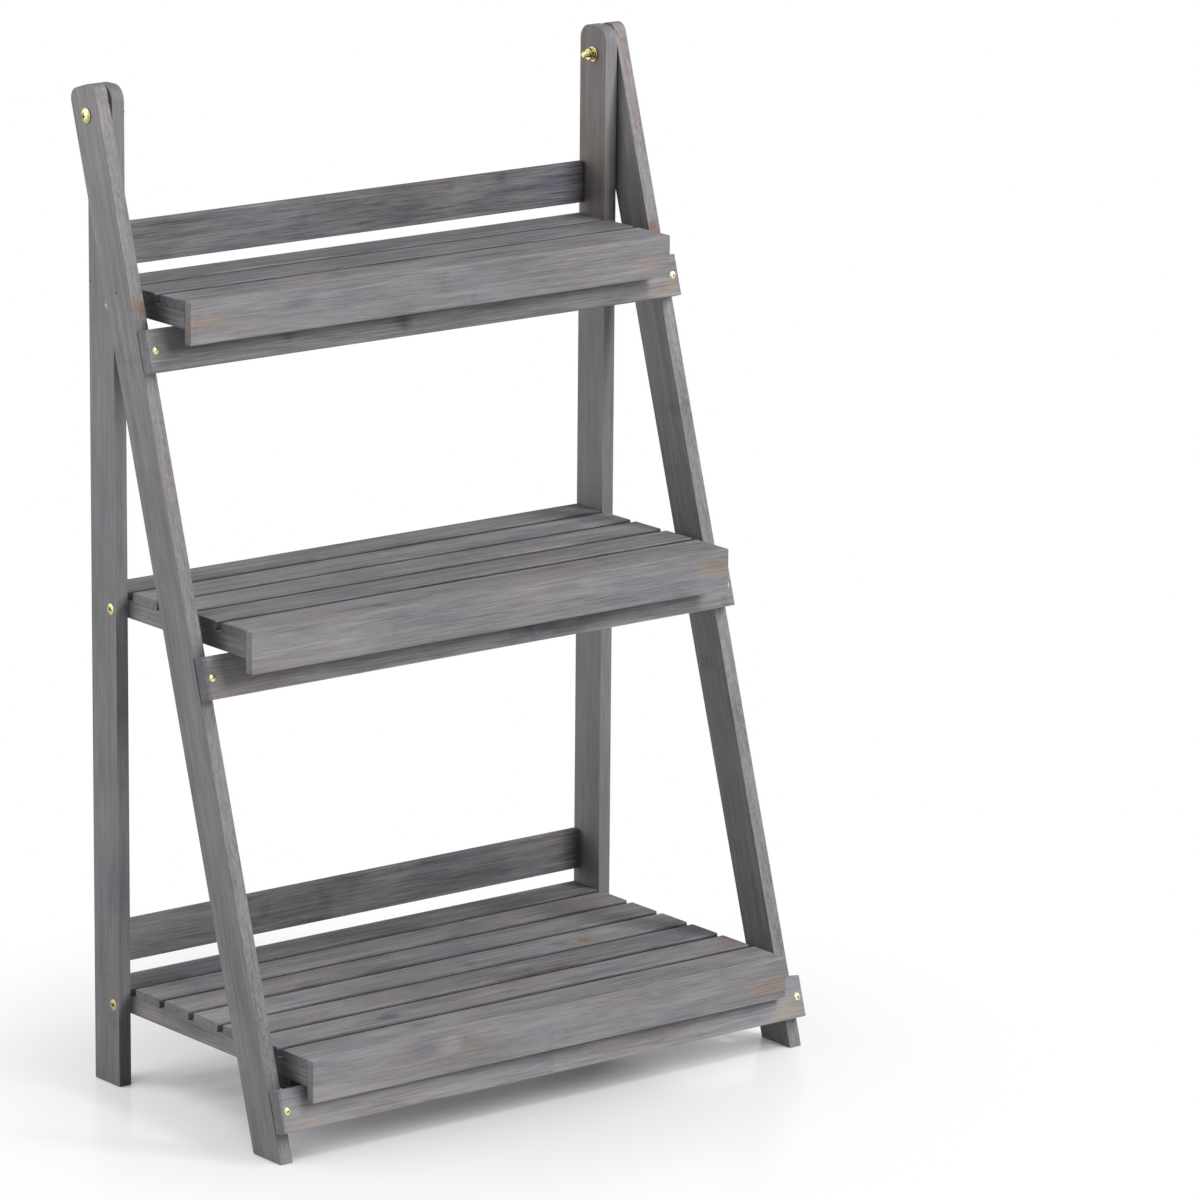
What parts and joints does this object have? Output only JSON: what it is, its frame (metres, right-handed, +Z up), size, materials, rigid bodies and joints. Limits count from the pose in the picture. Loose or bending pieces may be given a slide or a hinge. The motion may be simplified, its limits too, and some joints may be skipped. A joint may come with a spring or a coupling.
{
  "type": "folding plant ladder stand",
  "caption": "Folding wooden plant stand: upright rear posts, a slanted ladder in front, and slatted shelves that rest on its rails and swing up between the posts.",
  "frame": {"origin": "on the floor, midway between the left and right sides and midway between the front and rear ends", "axes": "+X to the right seen from the front, +Y to the rear, +Z up"},
  "size_m": [0.6066, 0.3278, 0.9319],
  "materials": {
    "grey_wood": "matt grey wash",
    "brass": "yellow plated, satin"
  },
  "bodies": {
    "rear_frame": {"rear_post_left": "grey_wood", "rear_post_right": "grey_wood", "back_rail_upper": "grey_wood", "back_rail_lower": "grey_wood", "ladder_pivot_bolts": "brass", "ladder_pivot_spacers": "brass", "ladder_pivot_washers": "brass", "ladder_pivot_nuts": "brass", "shelf_pivot_bolts": "brass", "shelf_pivot_washers": "brass", "shelf_pivot_nuts": "brass"},
    "ladder": {"front_leg_left": "grey_wood", "front_leg_right": "grey_wood", "front_rail_top": "grey_wood", "front_rail_middle": "grey_wood", "front_rail_bottom": "grey_wood", "rail_screws": "brass"},
    "top_shelf": {"top_batten_left": "grey_wood", "top_batten_middle": "grey_wood", "top_batten_right": "grey_wood", "top_fascia": "grey_wood", "top_slat_1": "grey_wood", "top_slat_2": "grey_wood", "top_slat_3": "grey_wood"},
    "middle_shelf": {"middle_batten_left": "grey_wood", "middle_batten_middle": "grey_wood", "middle_batten_right": "grey_wood", "middle_fascia": "grey_wood", "middle_slat_1": "grey_wood", "middle_slat_2": "grey_wood", "middle_slat_3": "grey_wood", "middle_slat_4": "grey_wood", "middle_slat_5": "grey_wood"},
    "bottom_shelf": {"bottom_batten_left": "grey_wood", "bottom_batten_middle": "grey_wood", "bottom_batten_right": "grey_wood", "bottom_fascia": "grey_wood", "bottom_slat_1": "grey_wood", "bottom_slat_2": "grey_wood", "bottom_slat_3": "grey_wood", "bottom_slat_4": "grey_wood", "bottom_slat_5": "grey_wood", "bottom_slat_6": "grey_wood", "bottom_slat_7": "grey_wood", "stop_block_left": "grey_wood", "stop_block_right": "grey_wood"}
  },
  "joints": [
    {"name": "ladder_fold", "type": "hinge", "parent": "rear_frame", "child": "ladder", "pos_m": [0, 0.13963, 0.903], "axis": [1, 0, 0], "range_deg": [0, 16.8]},
    {"name": "top_shelf_fold", "type": "hinge", "parent": "rear_frame", "child": "top_shelf", "pos_m": [0, 0.12913, 0.7325], "axis": [-1, 0, 0], "range_deg": [0, 90]},
    {"name": "middle_shelf_fold", "type": "hinge", "parent": "rear_frame", "child": "middle_shelf", "pos_m": [0, 0.12913, 0.4505], "axis": [-1, 0, 0], "range_deg": [0, 90]},
    {"name": "bottom_shelf_fold", "type": "hinge", "parent": "rear_frame", "child": "bottom_shelf", "pos_m": [0, 0.12913, 0.0765], "axis": [-1, 0, 0], "range_deg": [0, 90]}
  ],
  "couplings": [
    {"joint": "top_shelf_fold", "follows": "ladder_fold", "ratio": 5.3571},
    {"joint": "middle_shelf_fold", "follows": "ladder_fold", "ratio": 5.3571},
    {"joint": "bottom_shelf_fold", "follows": "ladder_fold", "ratio": 5.3571}
  ]
}
